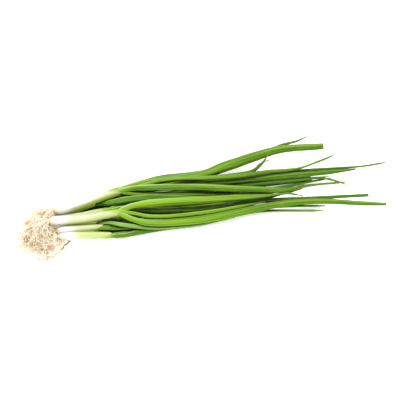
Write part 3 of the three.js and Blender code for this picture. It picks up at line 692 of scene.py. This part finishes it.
def strandRoute(base, along, radius, draw):
    turn, spread = draw.uniform(0, 2 * math.pi), math.sqrt(draw.random())
    side = up.cross(along).normalized()
    out = side * math.cos(turn) + along.cross(side) * math.sin(turn)
    point = base - along * roots["sink"] + out * (radius * roots["spread"] * spread)
    heading = (-along + out * (0.3 + spread * draw.random())).normalized()
    swing, away = draw.uniform(0, 2 * math.pi), math.sqrt(draw.random())
    aim = Vector((roots["middle"][0] + roots["half"][0] * away * math.cos(swing),
                  roots["middle"][1] + roots["half"][1] * away * math.sin(swing) + base.y * roots["lean"],
                  roots["height"] * (1 - away * away) * draw.random() + roots["low"]))
    step = roots["step"] * draw.uniform(*roots["vary"])
    points, ceiling = [point.copy()], base.z + roots["ceiling"] * draw.random()
    for _ in range(draw.randint(*roots["steps"])):
        toAim = (aim - point).normalized()
        wander = Vector((draw.uniform(-0.5, 0.5), draw.uniform(-0.5, 0.5), draw.uniform(-0.35, 0.25)))
        heading = (heading + toAim * roots["pull"] + wander * roots["wander"]).normalized()
        point = point + heading * step
        front = roots["front"] + roots["fringe"] * draw.random()
        point.x = min(max(point.x, front), base.x + roots["behind"])
        point.z = min(max(point.z, roots["floor"][0] + roots["floor"][1] * draw.random()), ceiling)
        points.append(point.copy())
    return points


def strandTube(points, thick, tint, draw, slimBy):
    run = Run([(point, thick, thick) for point in points])
    count = (len(points) - 1) * roots["between"]
    phase, curl = draw.uniform(0, 6.3), draw.uniform(*roots["curl"])
    tube = []
    for index in range(count + 1):
        share = index / count
        distance = run.length * share
        _, side, rise = run.turned(distance)
        swing = curl * smoothStep(share, 0, 0.3)
        across = math.sin(distance * roots["coils"][0] + phase) * swing
        upward = math.cos(distance * roots["coils"][1] + phase) * swing * 0.6
        centre = run.at(distance)[0] + side * across + rise * upward
        slim = thick * (1 - slimBy * share)
        centre.z = max(centre.z, slim)
        tube.append(Station(centre, side, rise, slim, slim, {"share": share, "tint": tint}))
    return [tube[0].closed()] + tube + [tube[-1].closed()]


def makeRoots(plant, number):
    draw = random.Random(3000 + 77 * number)
    outside = shankRuns[plant]
    base, radius, _ = outside.at(0)
    along, side, rise = outside.turned(0)
    tubes = []
    for _ in range(roots["strands"]):
        points = strandRoute(base, along, radius, draw)
        thick, tint = draw.uniform(*roots["thick"]), draw.random()
        tubes.append(strandTube(points, thick, tint, draw, roots["slimBy"]))
        for _ in range(hairs["each"]):
            start = points[draw.randint(2, len(points) - 2)]
            heading = Vector((draw.uniform(-1, 1), draw.uniform(-1, 1), draw.uniform(-0.4, 0.5)))
            heading.normalize()
            bend = Vector((draw.uniform(-1, 1), draw.uniform(-1, 1), draw.uniform(-0.5, 0.2)))
            size = draw.uniform(*hairs["long"])
            hair = []
            for row in range(hairs["rows"]):
                point = start + heading * (size * row) + bend * (size * hairs["bend"] * row * row)
                point.x = max(point.x, roots["last"])
                hair.append(point)
            tubes.append(strandTube(hair, hairs["thick"], tint, draw, roots["slimBy"]))
    if plant in strays:
        guide, thick, tint, slimBy = strays[plant]
        tubes.append(strandTube([Vector(point) for point in guide], thick, tint, draw, slimBy))
    piece = skin(f"strands_{plant}", tubes, roots["around"], ("share", "tint"))
    place(piece, rootSkin, f"roots_{plant}", "root")
    rows = []
    for back, share in plate["rows"]:
        rows.append(Station(base - along * back, side, rise, radius * share, radius * share,
                            {"share": 0.0, "tint": plate["tint"]}))
    disc = skin(f"plate_{plant}", [rows], plate["around"], ("share", "tint"))
    place(disc, rootSkin, f"roots_{plant}", "root")


for number, plant in enumerate(plants):
    makeRoots(plant, number)
print("roots made")

# plain pale floor and soft studio light
stage = {"floor": 3.0, "paper": (0.93, 0.93, 0.93), "sky": 1.45,
         "key": ((-0.20, 0.28, 1.25), 0.5, 10.0), "fill": ((-0.7, -0.8, 0.55), 1.2, 4.2), "glow": 0.42}


def makeStage(settings):
    bm = bmesh.new()
    bmesh.ops.create_grid(bm, x_segments=1, y_segments=1, size=settings["floor"])
    mesh = bpy.data.meshes.new("floor")
    bm.to_mesh(mesh)
    bm.free()
    floor = bpy.data.objects.new("floor", mesh)
    bpy.context.scene.collection.objects.link(floor)
    paper = Finish("paper")
    mesh.materials.append(paper.finish({"Base Color": (*settings["paper"], 1), "Roughness": 0.9,
                                        "Specular IOR Level": 0.0, "Emission Color": (1, 1, 1, 1),
                                        "Emission Strength": settings["glow"]}))
    for name in ("key", "fill"):
        spot, size, power = settings[name]
        lamp = bpy.data.lights.new(name, "AREA")
        lamp.shape, lamp.size, lamp.energy = "DISK", size, power
        holder = bpy.data.objects.new(name, lamp)
        holder.location = spot
        holder.rotation_euler = (-Vector(spot)).to_track_quat("-Z", "Y").to_euler()
        bpy.context.scene.collection.objects.link(holder)
    world = bpy.data.worlds.new("studio")
    world.use_nodes = True
    world.node_tree.nodes["Background"].inputs["Color"].default_value = (1, 1, 1, 1)
    world.node_tree.nodes["Background"].inputs["Strength"].default_value = settings["sky"]
    bpy.context.scene.world = world
    bpy.context.scene.view_settings.view_transform = "Standard"


makeStage(stage)
print("stage set")
